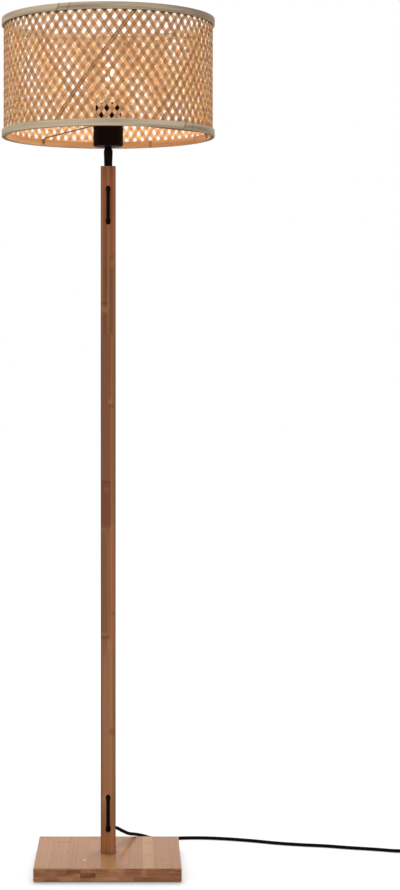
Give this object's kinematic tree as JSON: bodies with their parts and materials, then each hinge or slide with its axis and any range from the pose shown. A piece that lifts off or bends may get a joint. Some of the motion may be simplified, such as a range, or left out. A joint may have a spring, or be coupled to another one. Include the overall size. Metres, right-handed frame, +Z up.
{
  "type": "floor lamp",
  "caption": "Floor lamp with a drum shade woven from bamboo strips, a square laminated bamboo pole on a square foot, and a black cable stitched through the pole.",
  "frame": {"origin": "on the floor, below the pole's axis and the middle of the square foot", "axes": "+Z up along the pole, +X towards the side where the lead leaves, +Y towards the back"},
  "size_m": [0.9746, 0.4334, 1.5906],
  "materials": {
    "pole_bamboo": "satin lacquer over carbonised bamboo",
    "foot_bamboo": "semi-gloss lacquer over bamboo",
    "hoop_bamboo": "plain split bamboo",
    "strip_bamboo": "plain shaved bamboo",
    "black_lacquer": "semi-gloss black",
    "black_plastic": "fine matt",
    "grey_plastic": "matt",
    "cord_jacket": "black braided sleeve",
    "steel": "zinc plated",
    "carrier_wire": "lacquered wire",
    "brass": "plain",
    "cap_brass": "nickel-washed",
    "bulb_glass": "clear, faintly amber",
    "filament": "lit",
    "felt": "felt"
  },
  "bodies": {
    "lamp": {"foot_board": "foot_bamboo", "foot_pad_1": "felt", "foot_pad_2": "felt", "foot_pad_3": "felt", "foot_pad_4": "felt", "foot_bolt_1": "steel", "foot_bolt_2": "steel", "foot_washer_1": "steel", "foot_washer_2": "steel", "pole_insert_1": "brass", "pole_insert_2": "brass", "pole": "pole_bamboo", "pole_cable": "cord_jacket", "pole_top_insert": "brass", "neck_tube": "steel", "neck_sleeve": "black_lacquer", "holder_cup": "black_lacquer", "cup_nut": "steel", "holder_cap": "black_plastic", "holder_body": "black_plastic", "holder_thread_shell": "brass", "holder_contact": "brass", "bottom_outer_hoop": "hoop_bamboo", "bottom_inner_hoop": "hoop_bamboo", "top_outer_hoop": "hoop_bamboo", "top_inner_hoop": "hoop_bamboo", "shade_weave": "strip_bamboo", "shade_carrier": "carrier_wire", "shade_ring": "black_plastic", "lead_to_switch": "cord_jacket", "lead_to_coil": "cord_jacket", "lead_coil": "cord_jacket", "lead_to_plug": "cord_jacket", "coil_tie": "felt", "switch_base": "black_plastic", "switch_cover": "black_plastic", "switch_block": "grey_plastic", "switch_spring": "steel", "switch_relief_in": "black_plastic", "switch_relief_out": "black_plastic", "plug_body": "black_plastic", "plug_pin_1": "brass", "plug_pin_2": "brass"},
    "bulb": {"bulb_cap": "cap_brass", "bulb_glass": "bulb_glass", "bulb_stem": "bulb_glass", "bulb_filaments": "filament"},
    "button": {"switch_button": "black_plastic"}
  },
  "joints": [
    {"name": "bulb_out", "type": "slide", "parent": "lamp", "child": "bulb", "axis": [0, 0, 1], "range_m": [0, 0.025]},
    {"name": "button_press", "type": "slide", "parent": "lamp", "child": "button", "axis": [0, 0, -1], "range_m": [0, 0.0025], "stiffness_N_per_m": 400, "springref_m": -0.003, "deforming": ["switch_spring"]}
  ]
}
